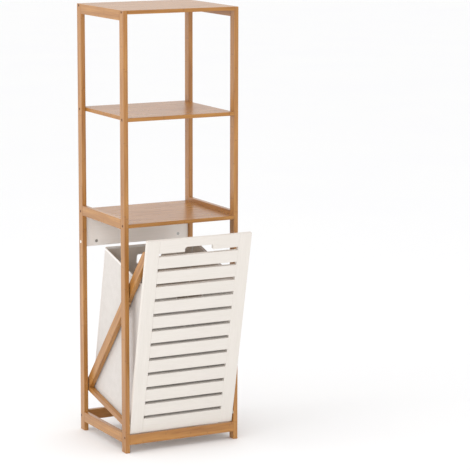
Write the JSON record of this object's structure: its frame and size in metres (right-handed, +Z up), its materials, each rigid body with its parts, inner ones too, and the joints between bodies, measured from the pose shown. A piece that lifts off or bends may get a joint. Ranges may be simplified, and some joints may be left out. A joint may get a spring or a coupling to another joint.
{
  "type": "tower shelf with tilt-out laundry hamper",
  "caption": "Tall narrow bamboo shelf tower with open shelves above a slatted white hamper front that tilts forward on pivot pins and carries a stiff lidless cloth laundry bag.",
  "frame": {"origin": "on the floor under the middle of the whole outline, with the hamper open", "axes": "+Z up, +X to the right as seen from the front, -Y towards the front that the hamper tilts out of"},
  "size_m": [0.402, 0.4778, 1.4],
  "materials": {
    "bamboo": "carbonised strip bamboo, planed and sanded, satin clear lacquer",
    "bamboo_board": "carbonised strip bamboo board, edge-glued strips, satin clear lacquer",
    "white_painted_wood": "fine-grained wood sprayed with warm white satin paint",
    "dowel_wood": "plain birch dowel",
    "zinc_plated_steel": "bright zinc plate",
    "bronzed_steel": "dark bronze plate",
    "nylon": "moulded nylon",
    "white_plastic": "moulded polyethylene",
    "bag_cloth": "off-white canvas outside, stiffened, warm grey woven lining inside",
    "grey_board": "bag floor stiffener covered in the warm grey lining cloth"
  },
  "bodies": {
    "tower": {"right_front_post": "bamboo", "left_front_post": "bamboo", "right_rear_post": "bamboo", "left_rear_post": "bamboo", "right_top_side_rail": "bamboo", "left_top_side_rail": "bamboo", "right_lower_shelf_side_rail": "bamboo", "left_lower_shelf_side_rail": "bamboo", "right_base_side_rail": "bamboo", "left_base_side_rail": "bamboo", "top_shelf_board": "bamboo_board", "middle_shelf_board": "bamboo_board", "lower_shelf_board": "bamboo_board", "base_front_rail": "bamboo", "base_rear_rail": "bamboo", "painted_back_rail": "white_painted_wood", "shelf_screws": "bronzed_steel", "base_rail_screws": "bronzed_steel", "back_rail_bolts": "zinc_plated_steel", "back_rail_barrel_nuts": "zinc_plated_steel", "back_rail_bolt_caps": "white_plastic", "back_rail_dowels": "dowel_wood", "side_rail_dowels": "dowel_wood", "hamper_stop_pins": "dowel_wood", "pivot_bushes": "nylon"},
    "hamper": {"panel_right_stile": "white_painted_wood", "panel_left_stile": "white_painted_wood", "panel_bottom_rail": "white_painted_wood", "panel_slat_01": "white_painted_wood", "panel_slat_02": "white_painted_wood", "panel_slat_03": "white_painted_wood", "panel_slat_04": "white_painted_wood", "panel_slat_05": "white_painted_wood", "panel_slat_06": "white_painted_wood", "panel_slat_07": "white_painted_wood", "panel_slat_08": "white_painted_wood", "panel_slat_09": "white_painted_wood", "panel_slat_10": "white_painted_wood", "panel_slat_11": "white_painted_wood", "panel_top_rail": "white_painted_wood", "right_long_bar": "bamboo", "left_long_bar": "bamboo", "right_short_bar": "bamboo", "left_short_bar": "bamboo", "basket_front_cross_bar": "bamboo", "basket_middle_cross_bar": "bamboo", "basket_rear_cross_bar": "bamboo", "pivot_pins": "zinc_plated_steel", "basket_frame_screws": "zinc_plated_steel", "basket_frame_dowels": "dowel_wood", "laundry_bag": "bag_cloth", "bag_floor_board": "grey_board"}
  },
  "joints": [
    {"name": "hamper_tilt", "type": "hinge", "parent": "tower", "child": "hamper", "pos_m": [0, -0.10309, 0.09], "axis": [1, 0, 0], "range_deg": [-12, 0]}
  ]
}
